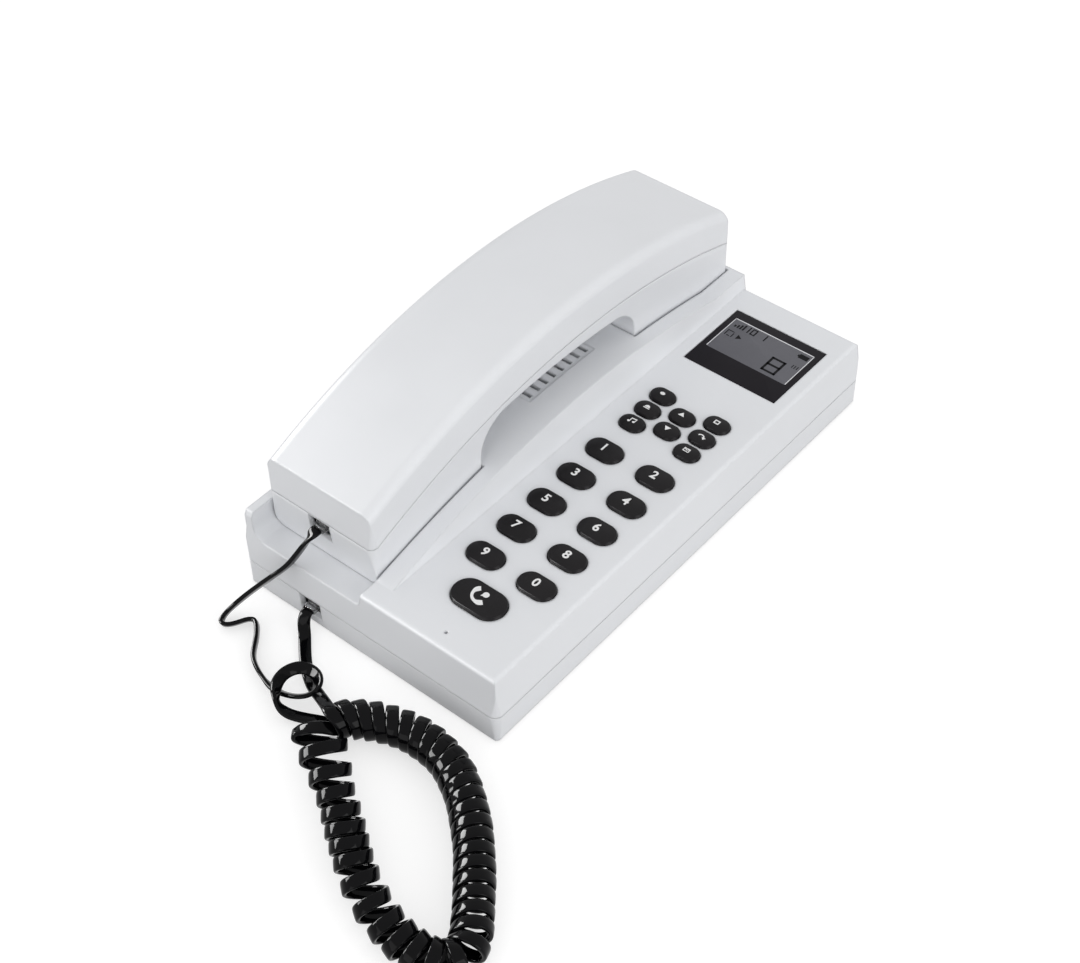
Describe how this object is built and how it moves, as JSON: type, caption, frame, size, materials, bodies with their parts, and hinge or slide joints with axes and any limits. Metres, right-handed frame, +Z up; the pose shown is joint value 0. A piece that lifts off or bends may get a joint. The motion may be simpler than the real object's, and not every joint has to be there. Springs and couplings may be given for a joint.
{
  "type": "corded landline phone",
  "caption": "Corded desk phone with an arched handset in an open cradle, a keypad with a small display and a curly handset cord.",
  "frame": {"origin": "on the ground under the middle of the base", "axes": "+Z up, +Y from the cord end towards the display end, +X from the handset towards the keypad"},
  "size_m": [0.1633, 0.2888, 0.077],
  "materials": {
    "shell_plastic": "satin light grey moulded ABS",
    "key_plastic": "black moulded plastic, printed white",
    "window_plastic": "clear acrylic, printed black behind",
    "display_glass": "liquid crystal glass, grey",
    "frame_plastic": "white moulded plastic",
    "socket_plastic": "dark moulded plastic",
    "hook_plastic": "white acetal, smooth",
    "plug_plastic": "clear polycarbonate",
    "cord_plastic": "glossy black PVC",
    "mat_rubber": "grey silicone rubber",
    "foot_rubber": "black rubber",
    "board_laminate": "green solder mask",
    "screw_steel": "zinc-plated steel",
    "weight_steel": "plain cut steel bar",
    "capsule_metal": "drawn aluminium can",
    "speaker_metal": "black painted steel frame"
  },
  "bodies": {
    "base": {"base_upper_shell": "shell_plastic", "base_lower_shell": "shell_plastic", "base_screws": "screw_steel", "rubber_feet": "foot_rubber", "display_window": "window_plastic", "display_panel": "display_glass", "display_holder": "frame_plastic", "keypad_mat": "mat_rubber", "main_board": "board_laminate", "main_board_screws": "screw_steel", "hook_spring": "screw_steel", "hook_switch": "socket_plastic", "line_board": "board_laminate", "line_board_screws": "screw_steel", "ringer_speaker": "speaker_metal", "base_microphone": "capsule_metal", "base_jack": "socket_plastic", "line_jack": "socket_plastic", "power_inlet": "socket_plastic", "base_plug": "plug_plastic", "handset_cord_tail": "cord_plastic", "base_cord_tail": "cord_plastic", "cord_coil": "cord_plastic"},
    "handset": {"handset_upper_shell": "shell_plastic", "handset_lower_shell": "shell_plastic", "handset_screws": "screw_steel", "earpiece_receiver": "speaker_metal", "handset_microphone": "capsule_metal", "microphone_boot": "foot_rubber", "handset_weight": "weight_steel", "handset_jack": "socket_plastic", "handset_plug": "plug_plastic"},
    "hook": {"hook_plunger": "hook_plastic"},
    "key_1_cap": {"key_1": "key_plastic"},
    "key_2_cap": {"key_2": "key_plastic"},
    "key_3_cap": {"key_3": "key_plastic"},
    "key_4_cap": {"key_4": "key_plastic"},
    "key_5_cap": {"key_5": "key_plastic"},
    "key_6_cap": {"key_6": "key_plastic"},
    "key_7_cap": {"key_7": "key_plastic"},
    "key_8_cap": {"key_8": "key_plastic"},
    "key_9_cap": {"key_9": "key_plastic"},
    "key_0_cap": {"key_0": "key_plastic"},
    "call_key_cap": {"call_key": "key_plastic"},
    "redial_key_cap": {"redial_key": "key_plastic"},
    "ring_key_cap": {"ring_key": "key_plastic"},
    "melody_key_cap": {"melody_key": "key_plastic"},
    "up_key_cap": {"up_key": "key_plastic"},
    "down_key_cap": {"down_key": "key_plastic"},
    "menu_key_cap": {"menu_key": "key_plastic"},
    "volume_key_cap": {"volume_key": "key_plastic"},
    "ok_key_cap": {"ok_key": "key_plastic"}
  },
  "joints": [
    {"name": "handset_lift", "type": "slide", "parent": "base", "child": "handset", "axis": [0, 0, 1], "range_m": [0, 0.06]},
    {"name": "hook_rise", "type": "slide", "parent": "base", "child": "hook", "axis": [0, 0, 1], "range_m": [0, 0.004], "deforming": ["hook_spring"]},
    {"name": "key_1_press", "type": "slide", "parent": "base", "child": "key_1_cap", "axis": [0, 0, -1], "range_m": [0, 0.0012], "stiffness_N_per_m": 350},
    {"name": "key_2_press", "type": "slide", "parent": "base", "child": "key_2_cap", "axis": [0, 0, -1], "range_m": [0, 0.0012], "stiffness_N_per_m": 350},
    {"name": "key_3_press", "type": "slide", "parent": "base", "child": "key_3_cap", "axis": [0, 0, -1], "range_m": [0, 0.0012], "stiffness_N_per_m": 350},
    {"name": "key_4_press", "type": "slide", "parent": "base", "child": "key_4_cap", "axis": [0, 0, -1], "range_m": [0, 0.0012], "stiffness_N_per_m": 350},
    {"name": "key_5_press", "type": "slide", "parent": "base", "child": "key_5_cap", "axis": [0, 0, -1], "range_m": [0, 0.0012], "stiffness_N_per_m": 350},
    {"name": "key_6_press", "type": "slide", "parent": "base", "child": "key_6_cap", "axis": [0, 0, -1], "range_m": [0, 0.0012], "stiffness_N_per_m": 350},
    {"name": "key_7_press", "type": "slide", "parent": "base", "child": "key_7_cap", "axis": [0, 0, -1], "range_m": [0, 0.0012], "stiffness_N_per_m": 350},
    {"name": "key_8_press", "type": "slide", "parent": "base", "child": "key_8_cap", "axis": [0, 0, -1], "range_m": [0, 0.0012], "stiffness_N_per_m": 350},
    {"name": "key_9_press", "type": "slide", "parent": "base", "child": "key_9_cap", "axis": [0, 0, -1], "range_m": [0, 0.0012], "stiffness_N_per_m": 350},
    {"name": "key_0_press", "type": "slide", "parent": "base", "child": "key_0_cap", "axis": [0, 0, -1], "range_m": [0, 0.0012], "stiffness_N_per_m": 350},
    {"name": "call_key_press", "type": "slide", "parent": "base", "child": "call_key_cap", "axis": [0, 0, -1], "range_m": [0, 0.0012], "stiffness_N_per_m": 350},
    {"name": "redial_key_press", "type": "slide", "parent": "base", "child": "redial_key_cap", "axis": [0, 0, -1], "range_m": [0, 0.0012], "stiffness_N_per_m": 350},
    {"name": "ring_key_press", "type": "slide", "parent": "base", "child": "ring_key_cap", "axis": [0, 0, -1], "range_m": [0, 0.0012], "stiffness_N_per_m": 350},
    {"name": "melody_key_press", "type": "slide", "parent": "base", "child": "melody_key_cap", "axis": [0, 0, -1], "range_m": [0, 0.0012], "stiffness_N_per_m": 350},
    {"name": "up_key_press", "type": "slide", "parent": "base", "child": "up_key_cap", "axis": [0, 0, -1], "range_m": [0, 0.0012], "stiffness_N_per_m": 350},
    {"name": "down_key_press", "type": "slide", "parent": "base", "child": "down_key_cap", "axis": [0, 0, -1], "range_m": [0, 0.0012], "stiffness_N_per_m": 350},
    {"name": "menu_key_press", "type": "slide", "parent": "base", "child": "menu_key_cap", "axis": [0, 0, -1], "range_m": [0, 0.0012], "stiffness_N_per_m": 350},
    {"name": "volume_key_press", "type": "slide", "parent": "base", "child": "volume_key_cap", "axis": [0, 0, -1], "range_m": [0, 0.0012], "stiffness_N_per_m": 350},
    {"name": "ok_key_press", "type": "slide", "parent": "base", "child": "ok_key_cap", "axis": [0, 0, -1], "range_m": [0, 0.0012], "stiffness_N_per_m": 350}
  ],
  "couplings": [
    {"joint": "hook_rise", "follows": "handset_lift", "ratio": 0.0666}
  ]
}
